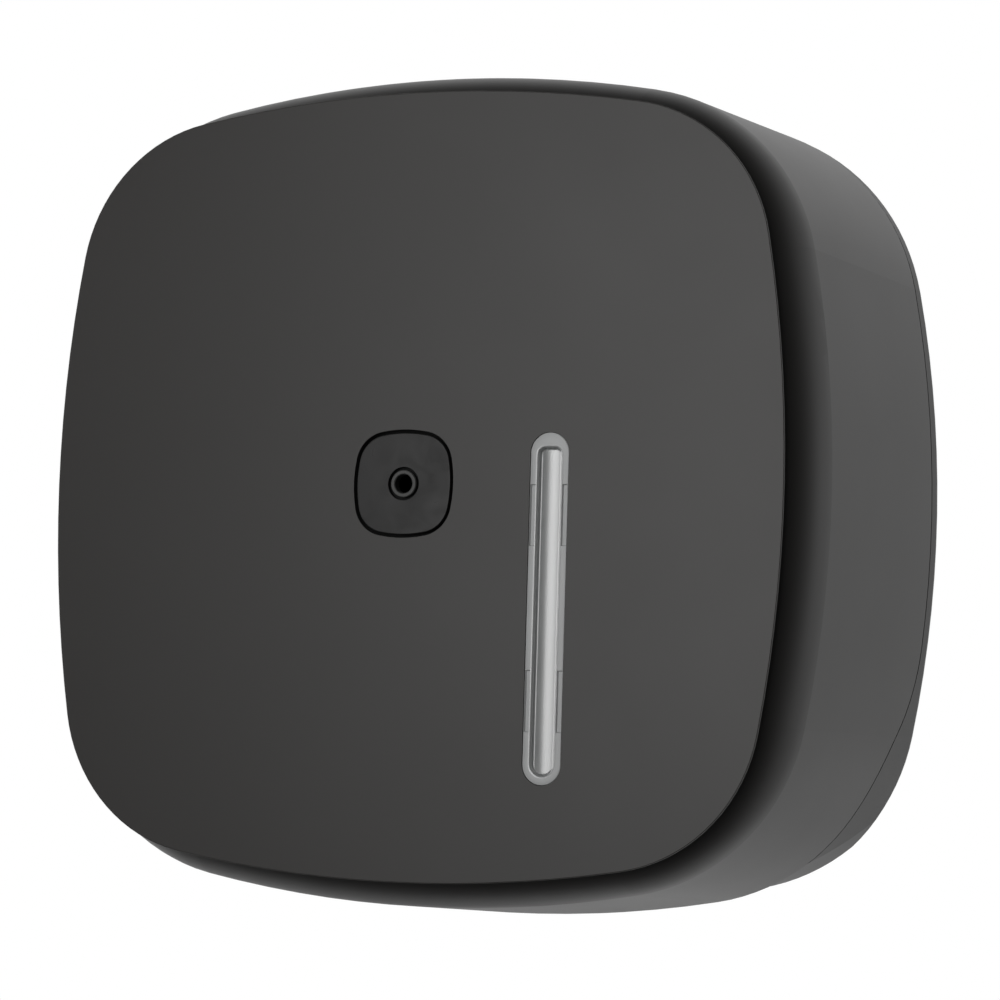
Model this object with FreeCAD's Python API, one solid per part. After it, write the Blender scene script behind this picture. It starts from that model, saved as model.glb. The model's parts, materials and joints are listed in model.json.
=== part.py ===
import FreeCAD, Part
import math
import os

# Wall-hung centre-pull toilet tissue dispenser.
# Millimetres, +Z up, front towards -Y. The origin is the middle of the wall face of the back plate,
# level with the nozzle and the axis of the paper roll.

V = FreeCAD.Vector

# Overall form
DEPTH = 155.0              # wall to the front of the panel
FACE_WIDTH = 300.0
FACE_HEIGHT = 300.0
FACE_SIDE_R = 528.0        # bow of the panel's sides
FACE_CORNER_R = 63.0

# Cover shell
SHELL_T = 2.6
SHOULDER_R = 25.0          # round from the front of the cover to its wall
SHOULDER_MARGIN = 10.2     # wall beyond the panel edge where the round meets it
BODY_SIDE_R = 469.0        # bow of the cover's sides there
BODY_CORNER_R = 79.6
DRAFT_DEG = 4.0
FLANGE_WIDTH = 9.0         # inward flange that carries the panel

# Parting between cover and back plate
PARTING_GAP = 1.4
RIM_DEPTH = 12.5           # back plate rim at the sides and the top
CHIN_DEPTH = 36.0          # back plate rim at the bottom
CHIN_HEIGHT = 44.0         # full-depth chin, up from the bottom of the cover
CHIN_RUN = 68.0            # height over which the rim steps forward

# Back plate
BASE_T = 3.0
RIM_INSET = 0.2            # rim set in from the cover's surface
CHIN_T = 2.6
RIM_T = 5.0
REAR_BEVEL = 1.3
REAR_BEVEL_DEPTH = 6.0
LIP_GAP = 0.6              # locating lip inside the cover's edge
LIP_T = 1.8
LIP_RISE = 6.0
LIP_LOW_Z = -55.0
RIB_H = 2.5
RIB_T = 2.0
RIB_RING_R = 70.0
RIB_REACH = 116.0
RIB_COUNT = 8
WALL_SLOT_SPACING_X = 210.0
WALL_SLOT_SPACING_Z = 150.0
WALL_SLOT_MID_Z = 5.0
WALL_SLOT_R = 2.75
WALL_SLOT_LENGTH = 12.0

# Front panel
PANEL_T = 3.5
PANEL_EDGE_R = 0.4
PANEL_EDGE_T = 1.1         # thickness left at the edge, which is cut back behind
PANEL_RIM_T = 1.8
PANEL_RIM_H = 6.0
PANEL_FIT = 0.3
PANEL_RIB_XS = (-96.0, -48.0, 96.0)
PANEL_RIB_T = 1.6
PANEL_RIB_H = 4.0

# Screws with a washer head, and the bosses that take them
SCREW_R = 1.45
SCREW_BITE = 5.0           # screw length below its head
HEAD_R = 4.2
HEAD_T = 2.0
BOSS_R = 3.2
BOSS_FIT = 0.2
THREAD_FIT = 0.05

# Window lens
WINDOW_X = 59.2
WINDOW_TOP_Z = 19.0
WINDOW_FOOT = 38.1         # bottom of the panel to the bottom of the lens
WINDOW_WIDTH = 15.4
WINDOW_LEDGE = 2.0         # ledge in the panel that the lens sits on
WINDOW_LEDGE_T = 1.5
WINDOW_FIT = 0.15
WINDOW_RECESS = 0.2        # lens front behind the panel front
WINDOW_BODY_REAR = 3.0     # lens body behind the panel
TROUGH_WIDTH = 9.4         # trough moulded into the front of the lens
TROUGH_WALL = 3.0          # its straight sides
TROUGH_CROWN = 1.2         # its crowned floor
TROUGH_EDGE = 0.7
TROUGH_TOP = 5.6           # lens top to the flat end of the trough
TROUGH_BOTTOM = 3.2        # lens bottom to the round end of the trough
TAB_LENGTH = 23.0
TAB_DROP = 19.4            # top of the lens to the upper tabs
TAB_FOOT = 19.5            # bottom of the lens to the lower tabs
TAB_POCKET = 1.2           # width of the pocket in the lens head in front of a tab
TAB_POCKET_DEPTH = 0.8
TAB_STRIP = 0.75           # head left outside the pocket
TAB_BARB = 1.1
TAB_T = 1.8
TAB_SEAT = 0.2

# Nozzle
NOZZLE_WIDTH = 41.2        # opening in the panel
NOZZLE_SIDE_R = 50.0
NOZZLE_CORNER_R = 12.7
NOZZLE_GAP = 1.3
NOZZLE_RECESS = 0.2
NOZZLE_EDGE_R = 0.4
NOZZLE_FLANGE = 9.2        # flange beyond the opening
NOZZLE_FLANGE_T = 1.5
NOZZLE_WEB_T = 2.4         # plate thickness round the ring
NOZZLE_SCREW_XZ = 19.5
RING_HOLE_R = 3.6
RING_R = 5.2
RING_GROOVE_R = 6.4
RING_FLANGE_R = 8.5
RING_FLANGE_T = 1.5
RING_PROUD = 0.1           # ring lip in front of the nozzle plate
RING_EDGE = 0.3
RING_FIT = 0.2
FUNNEL_THROAT_R = 4.2
FUNNEL_MOUTH_R = 20.0
FUNNEL_WALL = 1.8
FUNNEL_FLANGE_T = 1.6
FUNNEL_LENGTH = 8.5

# Bottom hinge
HINGE_SETBACK = 24.0       # axis in front of the wall
HINGE_RISE = 12.8          # axis above the bottom of the cover at the parting
HINGE_X = 45.0
SWING_GAP = 0.4            # cover edge to the chin as it swings under it
CHIN_SPREAD = 5.5          # how much wider the form is that tucks the chin up, so its corners stay flush
PIN_R = 2.0
PIN_HEAD_R = 3.2
PIN_HEAD_T = 1.0
PIN_RUN_FIT = 0.06
PIN_PRESS_FIT = 0.01
KNUCKLE_R = 5.0
KNUCKLE_WIDTH = 11.0
KNUCKLE_GAP = 0.5
EAR_T = 4.0
EAR_ROOT_RISE = 5.0
ARM_REACH = 48.0           # hinge arm forward of the axis
SLOT_REAR = 1.0            # slot end in front of the base

# Roll cradle
ROLL_MARGIN = 25.0         # roll inside the edge of the face
ROLL_FIT = 0.5
CRADLE_T = 3.0
CRADLE_HALF_ANGLE = 38.0
CRADLE_LENGTH = 112.0
CRADLE_CORNER_R = 14.0
CRADLE_FLANGE_DROP = 18.0
CRADLE_FLANGE_T = 4.0
CRADLE_SCREW_ANGLES = (-30.0, -10.0, 10.0, 30.0)
GUSSET_X = 45.0
GUSSET_T = 3.0
GUSSET_FRONT = 18.0        # gusset ends short of the cradle front

# Cam lock in the top of the cover
LOCK_SETBACK = 34.0        # axis in front of the wall
LOCK_SINK = 1.2            # flange seat below the cover's top surface
LOCK_FLANGE_R = 11.0
LOCK_FLANGE_T = 1.6
LOCK_FLANGE_CHAMFER = 0.5
LOCK_SPOT_FIT = 0.4
LOCK_PAD_R = 15.0
LOCK_PAD_T = 4.0
SLEEVE_R = 7.9
SLEEVE_LENGTH = 18.0
SLEEVE_FIT = 0.2
WASHER_R = 12.0
WASHER_T = 0.8
NUT_ACROSS_FLATS = 21.0
NUT_T = 4.0
BARREL_R = 5.4
BARREL_HEAD_R = 6.6
BARREL_HEAD_T = 0.9
BARREL_FIT = 0.06
KEYWAY_WIDTH = 1.8
KEYWAY_LENGTH = 8.0
KEYWAY_DEPTH = 5.0
DRIVE_SIDE = 7.0
DRIVE_FIT = 0.05
CAM_T = 2.5
CAM_GAP = 0.3
CAM_HUB_R = 8.0
CAM_REACH = 22.0
CAM_WIDTH = 9.0
CAM_SCREW_R = 1.9
CAM_SCREW_BITE = 8.0
CAM_HEAD_R = 5.0
CAM_HEAD_T = 2.2

# Keeper that the cam turns behind
KEEPER_GAP = 1.0           # cam to the keeper's hook
KEEPER_INNER_X = 12.6
KEEPER_T = 3.0
KEEPER_HEIGHT = 12.0
KEEPER_TIP_GAP = 2.4
KEEPER_FOOT = 14.0
KEEPER_SCREW_EDGE = 6.0

# Worked-out places
FRONT_Y = -DEPTH
PANEL_BACK_Y = FRONT_Y + PANEL_T
DRAFT = math.radians(DRAFT_DEG)
SHOULDER_Y = PANEL_BACK_Y + SHOULDER_R * (1 - math.sin(DRAFT))
CHIN_TUCK = SHELL_T + SWING_GAP
WINDOW_BOTTOM_Z = WINDOW_FOOT - FACE_HEIGHT / 2
TAB_TOPS_Z = (WINDOW_TOP_Z - TAB_DROP, WINDOW_BOTTOM_Z + TAB_FOOT + TAB_LENGTH)
ROLL_R = min(FACE_WIDTH, FACE_HEIGHT) / 2 - ROLL_MARGIN
FAR = 2.0 * max(FACE_WIDTH, FACE_HEIGHT, DEPTH)


def grown(form, by):
    """An outline's half width, half height, side radius and corner radius, all offset outward."""
    return tuple(value + by for value in form)


FACE = (FACE_WIDTH / 2, FACE_HEIGHT / 2, FACE_SIDE_R, FACE_CORNER_R)
SHOULDER = (FACE_WIDTH / 2 + SHOULDER_MARGIN, FACE_HEIGHT / 2 + SHOULDER_MARGIN, BODY_SIDE_R, BODY_CORNER_R)
COVER_FLAT = grown(SHOULDER, -SHOULDER_R * math.cos(DRAFT))
NOZZLE_OPENING = (NOZZLE_WIDTH / 2, NOZZLE_WIDTH / 2, NOZZLE_SIDE_R, NOZZLE_CORNER_R)


def wall_form(y):
    """Outline of the cover's drafted wall at depth y."""
    return grown(SHOULDER, math.tan(DRAFT) * (y - SHOULDER_Y))


CHIN_BOTTOM_Z = -wall_form(-CHIN_DEPTH)[1]
HINGE_Y = -HINGE_SETBACK
HINGE_Z = CHIN_BOTTOM_Z + HINGE_RISE
LOCK_Y = -LOCK_SETBACK
LOCK_SEAT_Z = wall_form(LOCK_Y)[1] - LOCK_SINK
CAM_TOP_Z = LOCK_SEAT_Z - SLEEVE_LENGTH - CAM_GAP
CAM_BOTTOM_Z = CAM_TOP_Z - CAM_T


def outline_ring(form):
    """Ends and middles, by turns, of the four bowed sides and four tangent corners, as (x, z)."""
    half_w, half_h, side_r, corner_r = form
    right_x = half_w - side_r
    top_z = half_h - side_r
    reach = side_r - corner_r
    spread = math.hypot(right_x, top_z)
    push = math.sqrt(reach ** 2 - spread ** 2 / 4)
    corner_x = right_x / 2 - push * top_z / spread
    corner_z = top_z / 2 - push * right_x / spread
    side_x = right_x + side_r * (corner_x - right_x) / reach
    side_z = side_r * corner_z / reach
    cap_x = side_r * corner_x / reach
    cap_z = top_z + side_r * (corner_z - top_z) / reach
    slope = math.atan2(side_z - corner_z + cap_z - corner_z, side_x - corner_x + cap_x - corner_x)
    mid_x = corner_x + corner_r * math.cos(slope)
    mid_z = corner_z + corner_r * math.sin(slope)
    upper = [(side_x, -side_z), (half_w, 0.0), (side_x, side_z), (mid_x, mid_z), (cap_x, cap_z),
             (0.0, half_h), (-cap_x, cap_z), (-mid_x, mid_z)]
    return upper + [(-x, -z) for x, z in upper]


def outline(form, y):
    ring = [V(x, y, z) for x, z in outline_ring(form)]
    ring.append(ring[0])
    arcs = [Part.Arc(*ring[i:i + 3]).toShape() for i in range(0, len(ring) - 1, 2)]
    return Part.Wire(arcs)


def slab(form, y_front, y_rear):
    """Prism of an outline between two depths."""
    return Part.Face(outline(form, y_front)).extrude(V(0, y_rear - y_front, 0))


def tapered(form_front, y_front, form_rear, y_rear):
    return Part.makeLoft([outline(form_front, y_front), outline(form_rear, y_rear)], True, True)


def rod(radius, y_from, y_to, x, z):
    """Cylinder along Y."""
    return Part.makeCylinder(radius, abs(y_to - y_from), V(x, min(y_from, y_to), z), V(0, 1, 0))


def post(radius, z_low, z_high):
    """Upright cylinder on the lock's axis."""
    return Part.makeCylinder(radius, z_high - z_low, V(0, LOCK_Y, z_low))


def block(x0, x1, y0, y1, z0, z1):
    return Part.makeBox(x1 - x0, y1 - y0, z1 - z0, V(x0, y0, z0))


def obround(width, z_low, z_high, y_front, y_rear, x):
    """Upright slot shape with round ends, between two depths."""
    radius = width / 2
    middle = block(x - radius, x + radius, y_front, y_rear, z_low + radius, z_high - radius)
    ends = [rod(radius, y_front, y_rear, x, z) for z in (z_low + radius, z_high - radius)]
    return middle.multiFuse(ends).removeSplitter()


def revolved(points):
    """Solid turned about the nozzle axis from (radius, y) points, closed from the last to the first."""
    corners = [V(r, y, 0) for r, y in points]
    wire = Part.makePolygon(corners + corners[:1])
    return Part.Face(wire).revolve(V(0, 0, 0), V(0, 1, 0), 360)


def joined(shapes):
    """One clean solid from shapes that meet."""
    whole = shapes[0].multiFuse(shapes[1:]) if len(shapes) > 1 else shapes[0]
    return whole.removeSplitter()


def screw(x, z, seat_y, into):
    """Washer-head screw, its head seated at seat_y and its shank running along Y towards into."""
    head = rod(HEAD_R, seat_y - into * HEAD_T, seat_y, x, z)
    shank = rod(SCREW_R, seat_y, seat_y + into * SCREW_BITE, x, z)
    return joined([head, shank])


def boss(x, z, foot_y, seat_y, into):
    """Boss from foot_y to the screw's seat, and the pilot hole down through it."""
    pilot_end = seat_y + into * (SCREW_BITE + THREAD_FIT)
    return rod(BOSS_R, foot_y, seat_y, x, z), rod(SCREW_R + THREAD_FIT, seat_y, pilot_end, x, z)


# Cover

def cover_form(inset):
    """The cover's full form back to the wall plane, shrunk by inset and moved back by as much."""
    front_y = PANEL_BACK_Y + inset
    body = tapered(grown(wall_form(PANEL_BACK_Y), -inset), front_y, grown(wall_form(0.0), -inset), inset)
    front_edges = [edge for edge in body.Edges if edge.BoundBox.YMax < front_y + SHELL_T]
    return body.makeFillet(SHOULDER_R - inset, front_edges)


def behind_parting(shift):
    """Everything on the wall side of the parting, moved along Y by shift."""
    side_y = shift - RIM_DEPTH
    chin_y = shift - CHIN_DEPTH
    low_z = CHIN_BOTTOM_Z + CHIN_HEIGHT
    high_z = low_z + CHIN_RUN
    step = CHIN_DEPTH - RIM_DEPTH
    turn = 2 * math.atan(step / CHIN_RUN)
    radius = CHIN_RUN / (2 * math.sin(turn))
    sag = radius * (1 - math.cos(turn / 2))
    lean = radius * math.sin(turn / 2)
    middle = V(0, (side_y + chin_y) / 2, (low_z + high_z) / 2)
    upper = Part.Arc(V(0, side_y, high_z), V(0, side_y - sag, high_z - lean), middle).toShape()
    lower = Part.Arc(middle, V(0, chin_y + sag, low_z + lean), V(0, chin_y, low_z)).toShape()
    corners = [V(0, chin_y, low_z), V(0, chin_y, -FAR), V(0, FAR, -FAR), V(0, FAR, FAR),
               V(0, side_y, FAR), V(0, side_y, high_z)]
    straight = Part.makePolygon(corners).Edges
    face = Part.Face(Part.Wire([upper, lower] + straight))
    return face.extrude(V(2 * FAR, 0, 0)).translated(V(-FAR, 0, 0))


def hinge_arm(x, body):
    """Gusset from the cover's bottom wall back to a knuckle on the hinge axis."""
    edge_y = -CHIN_DEPTH - PARTING_GAP / 2
    toe_y = HINGE_Y - ARM_REACH
    corners = [V(0, HINGE_Y, HINGE_Z + KNUCKLE_R), V(0, toe_y, CHIN_BOTTOM_Z + SHELL_T),
               V(0, toe_y, CHIN_BOTTOM_Z), V(0, edge_y, CHIN_BOTTOM_Z - SHELL_T),
               V(0, edge_y, HINGE_Z - KNUCKLE_R), V(0, HINGE_Y, HINGE_Z - KNUCKLE_R)]
    web = Part.Face(Part.makePolygon(corners + corners[:1])).extrude(V(KNUCKLE_WIDTH, 0, 0))
    knuckle = Part.makeCylinder(KNUCKLE_R, KNUCKLE_WIDTH, V(0, HINGE_Y, HINGE_Z), V(1, 0, 0))
    arm = joined([web, knuckle]).translated(V(x - KNUCKLE_WIDTH / 2, 0, 0))
    return arm.common(body)


def hinge_bores(radius):
    """Pin holes through each knuckle and the ears on both sides of it."""
    half = KNUCKLE_WIDTH / 2 + KNUCKLE_GAP + EAR_T
    return [Part.makeCylinder(radius, 2 * half, V(x - half, HINGE_Y, HINGE_Z), V(1, 0, 0))
            for x in (-HINGE_X, HINGE_X)]


def panel_screw_places():
    """One screw at the middle of each side and each corner of the flange."""
    ring = outline_ring(grown(COVER_FLAT, -FLANGE_WIDTH / 2))
    return ring[1::2]


def make_cover_shell():
    body = cover_form(0.0)
    mouth = grown(COVER_FLAT, -FLANGE_WIDTH)
    shell = body.cut(cover_form(SHELL_T)).cut(slab(mouth, PANEL_BACK_Y, PANEL_BACK_Y + 2 * SHELL_T))
    shell = shell.cut(behind_parting(-PARTING_GAP / 2))
    pad = post(LOCK_PAD_R, LOCK_SEAT_Z - LOCK_PAD_T, LOCK_SEAT_Z + LOCK_SINK).common(body)
    arms = [hinge_arm(x, body) for x in (-HINGE_X, HINGE_X)]
    shell = joined([shell, pad] + arms)
    cuts = [rod(BOSS_R + BOSS_FIT, PANEL_BACK_Y, PANEL_BACK_Y + 2 * SHELL_T, x, z)
            for x, z in panel_screw_places()]
    cuts.append(post(LOCK_FLANGE_R + LOCK_SPOT_FIT, LOCK_SEAT_Z, LOCK_SEAT_Z + FAR))
    cuts.append(post(SLEEVE_R + SLEEVE_FIT, LOCK_SEAT_Z - FAR / 4, LOCK_SEAT_Z))
    return shell.cut(cuts + hinge_bores(PIN_R + PIN_RUN_FIT))


def window_seat():
    """Cut in the panel for the lens: a shallow recess for its head and a slot for its body."""
    ledge_y = PANEL_BACK_Y - WINDOW_LEDGE_T
    head = obround(WINDOW_WIDTH, WINDOW_BOTTOM_Z, WINDOW_TOP_Z, FRONT_Y, ledge_y, WINDOW_X)
    slot_low = WINDOW_BOTTOM_Z + WINDOW_LEDGE
    slot_high = WINDOW_TOP_Z - WINDOW_LEDGE
    slot = obround(WINDOW_WIDTH - 2 * WINDOW_LEDGE, slot_low, slot_high, FRONT_Y, PANEL_BACK_Y, WINDOW_X)
    return joined([head, slot])


def nozzle_screw_places():
    reach = (-NOZZLE_SCREW_XZ, NOZZLE_SCREW_XZ)
    return [(x, z) for x in reach for z in reach]


def make_front_panel():
    plate = slab(FACE, FRONT_Y, PANEL_BACK_Y)
    rear_edges = [edge for edge in plate.Edges if edge.BoundBox.YMin > PANEL_BACK_Y - PANEL_T / 2]
    plate = plate.makeChamfer(PANEL_T - PANEL_EDGE_T, rear_edges)
    front_edges = [edge for edge in plate.Edges if edge.BoundBox.YMax < FRONT_Y + PANEL_EDGE_R]
    plate = plate.makeFillet(PANEL_EDGE_R, front_edges)
    plate = plate.cut(slab(NOZZLE_OPENING, FRONT_Y, PANEL_BACK_Y)).cut(window_seat())
    rim = grown(COVER_FLAT, -FLANGE_WIDTH - PANEL_FIT)
    inside = slab(grown(rim, -PANEL_RIM_T), PANEL_BACK_Y, PANEL_BACK_Y + PANEL_RIM_H)
    collar = slab(rim, PANEL_BACK_Y, PANEL_BACK_Y + PANEL_RIM_H).cut(inside)
    rib_room = slab(rim, PANEL_BACK_Y, PANEL_BACK_Y + PANEL_RIB_H)
    half_rib = PANEL_RIB_T / 2
    ribs = [rib_room.common(block(x - half_rib, x + half_rib, FRONT_Y, 0.0, -FAR, FAR)) for x in PANEL_RIB_XS]
    fixings = [boss(x, z, PANEL_BACK_Y, PANEL_BACK_Y + SHELL_T, -1) for x, z in panel_screw_places()]
    stack = NOZZLE_FLANGE_T + FUNNEL_FLANGE_T
    fixings += [boss(x, z, PANEL_BACK_Y, PANEL_BACK_Y + stack, -1) for x, z in nozzle_screw_places()]
    panel = joined([plate, collar] + ribs + [solid for solid, pilot in fixings])
    return panel.cut([pilot for solid, pilot in fixings])


def make_panel_screws():
    return [screw(x, z, PANEL_BACK_Y + SHELL_T, -1) for x, z in panel_screw_places()]


def trough(front_y, low_z, high_z):
    """Room of the lens trough: straight sides, a crowned floor, a flat upper end and a round lower end."""
    half = TROUGH_WIDTH / 2
    wall_y = front_y + TROUGH_WALL
    crown_y = wall_y - TROUGH_CROWN
    radius = (half ** 2 + TROUGH_CROWN ** 2) / (2 * TROUGH_CROWN)
    lean = math.asin(half / radius) / 2
    middle = V(radius * math.sin(lean), crown_y + radius * (1 - math.cos(lean)), 0)
    floor = Part.Arc(V(half, wall_y, 0), middle, V(0, crown_y, 0)).toShape()
    corners = [V(0, crown_y, 0), V(0, front_y, 0), V(half + TROUGH_EDGE, front_y, 0),
               V(half, front_y + TROUGH_EDGE, 0), V(half, wall_y, 0)]
    section = Part.Face(Part.Wire([floor] + Part.makePolygon(corners).Edges))
    right = section.extrude(V(0, 0, high_z - low_z - half))
    left = right.mirror(V(0, 0, 0), V(1, 0, 0))
    end = section.revolve(V(0, 0, 0), V(0, 1, 0), 360)
    return joined([right, left, end]).translated(V(WINDOW_X, 0, low_z + half))


def make_window_lens():
    front_y = FRONT_Y + WINDOW_RECESS
    ledge_y = PANEL_BACK_Y - WINDOW_LEDGE_T
    rear_y = PANEL_BACK_Y + WINDOW_BODY_REAR
    low_z = WINDOW_BOTTOM_Z + WINDOW_FIT
    high_z = WINDOW_TOP_Z - WINDOW_FIT
    head = obround(WINDOW_WIDTH - 2 * WINDOW_FIT, low_z, high_z, front_y, ledge_y, WINDOW_X)
    body_width = WINDOW_WIDTH - 2 * (WINDOW_LEDGE + WINDOW_FIT)
    body = obround(body_width, low_z + WINDOW_LEDGE, high_z - WINDOW_LEDGE, front_y, rear_y, WINDOW_X)
    tab_y = PANEL_BACK_Y + TAB_SEAT
    barb = body_width / 2 + TAB_BARB
    profile = [V(WINDOW_X - barb, tab_y, 0), V(WINDOW_X + barb, tab_y, 0),
               V(WINDOW_X + body_width / 2, tab_y + TAB_T, 0), V(WINDOW_X - body_width / 2, tab_y + TAB_T, 0)]
    wedge = Part.Face(Part.makePolygon(profile + profile[:1])).extrude(V(0, 0, -TAB_LENGTH))
    tabs = [wedge.translated(V(0, 0, z)) for z in TAB_TOPS_Z]
    lens = joined([head, body] + tabs)
    outer = WINDOW_WIDTH / 2 - WINDOW_FIT - TAB_STRIP
    pocket = block(outer - TAB_POCKET, outer, front_y, front_y + TAB_POCKET_DEPTH, -TAB_LENGTH, 0.0)
    pockets = [piece.translated(V(WINDOW_X, 0, z)) for z in TAB_TOPS_Z
               for piece in (pocket, pocket.mirror(V(0, 0, 0), V(1, 0, 0)))]
    return lens.cut(pockets + [trough(front_y, low_z + TROUGH_BOTTOM, high_z - TROUGH_TOP)])


def make_nozzle_plate():
    front_y = FRONT_Y + NOZZLE_RECESS
    plug_form = grown(NOZZLE_OPENING, -NOZZLE_GAP)
    plug = slab(plug_form, front_y, PANEL_BACK_Y)
    edges = [edge for edge in plug.Edges if edge.BoundBox.YMax < front_y + NOZZLE_EDGE_R]
    plug = plug.makeFillet(NOZZLE_EDGE_R, edges)
    rear_y = PANEL_BACK_Y + NOZZLE_FLANGE_T
    plate = joined([plug, slab(grown(NOZZLE_OPENING, NOZZLE_FLANGE), PANEL_BACK_Y, rear_y)])
    cuts = [rod(RING_GROOVE_R, front_y - RING_PROUD, rear_y, 0, 0),
            rod(RING_FLANGE_R + RING_FIT, front_y + NOZZLE_WEB_T, rear_y, 0, 0)]
    cuts += [rod(BOSS_R + BOSS_FIT, PANEL_BACK_Y, rear_y, x, z) for x, z in nozzle_screw_places()]
    return plate.cut(cuts)


def ring_levels():
    """Front of the ring lip, and front and rear of its flange."""
    lip_y = FRONT_Y + NOZZLE_RECESS - RING_PROUD
    flange_y = FRONT_Y + NOZZLE_RECESS + NOZZLE_WEB_T
    return lip_y, flange_y, flange_y + RING_FLANGE_T


def make_nozzle_ring():
    lip_y, flange_y, rear_y = ring_levels()
    edge_y = lip_y + RING_EDGE
    return revolved([(RING_HOLE_R, edge_y), (RING_HOLE_R + RING_EDGE, lip_y), (RING_R - RING_EDGE, lip_y),
                     (RING_R, edge_y), (RING_R, flange_y), (RING_FLANGE_R, flange_y),
                     (RING_FLANGE_R, rear_y), (RING_HOLE_R, rear_y)])


def make_paper_funnel():
    throat_y = ring_levels()[2]
    flange_y = PANEL_BACK_Y + NOZZLE_FLANGE_T
    seat_y = flange_y + FUNNEL_FLANGE_T
    mouth_y = throat_y + FUNNEL_LENGTH
    spigot = rod(RING_FLANGE_R, throat_y, seat_y, 0, 0)
    rim_r = FUNNEL_MOUTH_R + FUNNEL_WALL
    cone = revolved([(0, flange_y), (RING_FLANGE_R, flange_y), (rim_r, mouth_y), (0, mouth_y)])
    flange = slab(grown(NOZZLE_OPENING, NOZZLE_FLANGE), flange_y, seat_y)
    bell = revolved([(0, throat_y), (FUNNEL_THROAT_R, throat_y), (FUNNEL_MOUTH_R, mouth_y), (0, mouth_y)])
    cuts = [rod(BOSS_R + BOSS_FIT, flange_y, seat_y, x, z) for x, z in nozzle_screw_places()]
    return joined([spigot, cone, flange]).cut([bell] + cuts)


def make_funnel_screws():
    seat_y = PANEL_BACK_Y + NOZZLE_FLANGE_T + FUNNEL_FLANGE_T
    return [screw(x, z, seat_y, -1) for x, z in nozzle_screw_places()]


# Back plate and what it carries

def plate_form(inset, y_front):
    """Back plate's form from y_front to the wall: flush with the cover, but tucked up and straight below."""
    bevel_y = -REAR_BEVEL_DEPTH
    bevel_form = grown(wall_form(bevel_y), -inset)
    wall = tapered(grown(wall_form(y_front), -inset), y_front, bevel_form, bevel_y)
    rear = tapered(bevel_form, bevel_y, grown(bevel_form, -REAR_BEVEL), 0.0)
    half_w, half_h, side_r, corner_r = grown(wall_form(-CHIN_DEPTH), -inset)
    raised = slab((half_w + CHIN_SPREAD, half_h, side_r, corner_r), y_front, 0.0)
    return joined([wall, rear]).common(raised.translated(V(0, 0, CHIN_TUCK)))


def cradle_screw_places():
    radius = ROLL_R + ROLL_FIT + CRADLE_T + CRADLE_FLANGE_DROP / 2
    turns = [math.radians(angle) for angle in CRADLE_SCREW_ANGLES]
    return [(radius * math.sin(turn), -radius * math.cos(turn)) for turn in turns]


def keeper_levels():
    """Keeper's front, foot seat, low and high levels and outer side."""
    hook_y = LOCK_Y - CAM_WIDTH / 2 - KEEPER_GAP
    outer_x = CAM_REACH + KEEPER_TIP_GAP + KEEPER_T
    low_z = (CAM_TOP_Z + CAM_BOTTOM_Z - KEEPER_HEIGHT) / 2
    return hook_y - KEEPER_T, -BASE_T - KEEPER_T, low_z, low_z + KEEPER_HEIGHT, outer_x


def keeper_screw_places():
    front_y, seat_y, low_z, high_z, outer_x = keeper_levels()
    arm_x = outer_x - KEEPER_T / 2
    reach = KEEPER_T / 2 + KEEPER_FOOT - KEEPER_SCREW_EDGE
    return [(arm_x + side * reach, (low_z + high_z) / 2) for side in (-1, 1)]


def make_back_plate():
    front_y = -CHIN_DEPTH - PARTING_GAP
    plate = plate_form(RIM_INSET, front_y)
    whole = plate
    deep = plate_form(RIM_INSET + CHIN_T, front_y).cut(block(-FAR, FAR, -RIM_DEPTH, FAR, -FAR, FAR))
    shallow = plate_form(RIM_INSET + RIM_T, front_y).cut(block(-FAR, FAR, -BASE_T, FAR, -FAR, FAR))
    tray = plate.cut([deep, shallow]).common(behind_parting(PARTING_GAP / 2))
    lip_out = SHELL_T + LIP_GAP
    lip_front = -RIM_DEPTH - LIP_RISE
    lip = plate_form(lip_out, lip_front).cut(plate_form(lip_out + LIP_T, lip_front))
    lip = lip.common(block(-FAR, FAR, -FAR, -BASE_T / 2, LIP_LOW_Z, FAR))
    ring = rod(RIB_RING_R + RIB_T, -BASE_T - RIB_H, -BASE_T, 0, 0)
    ring = ring.cut(rod(RIB_RING_R, -BASE_T - RIB_H, -BASE_T, 0, 0))
    spoke = block(RIB_RING_R + RIB_T / 2, RIB_REACH, -BASE_T - RIB_H, -BASE_T, -RIB_T / 2, RIB_T / 2)
    spokes = [spoke.rotated(V(0, 0, 0), V(0, 1, 0), 360.0 * k / RIB_COUNT) for k in range(RIB_COUNT)]
    ears = [hinge_ear(side * HINGE_X + out * (KNUCKLE_WIDTH / 2 + KNUCKLE_GAP + EAR_T / 2)).common(whole)
            for side in (-1, 1) for out in (-1, 1)]
    fixings = [boss(x, z, -BASE_T, -BASE_T - CRADLE_FLANGE_T, 1) for x, z in cradle_screw_places()]
    fixings += [boss(x, z, -BASE_T, keeper_levels()[1], 1) for x, z in keeper_screw_places()]
    tray = joined([tray, lip, ring] + spokes + ears + [solid for solid, pilot in fixings])
    cuts = [pilot for solid, pilot in fixings] + hinge_bores(PIN_R + PIN_PRESS_FIT)
    cuts += [arm_slot(side * HINGE_X) for side in (-1, 1)]
    cuts += [wall_slot(x, z) for x in (-1, 1) for z in (-1, 1)]
    return tray.cut(cuts)


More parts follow.
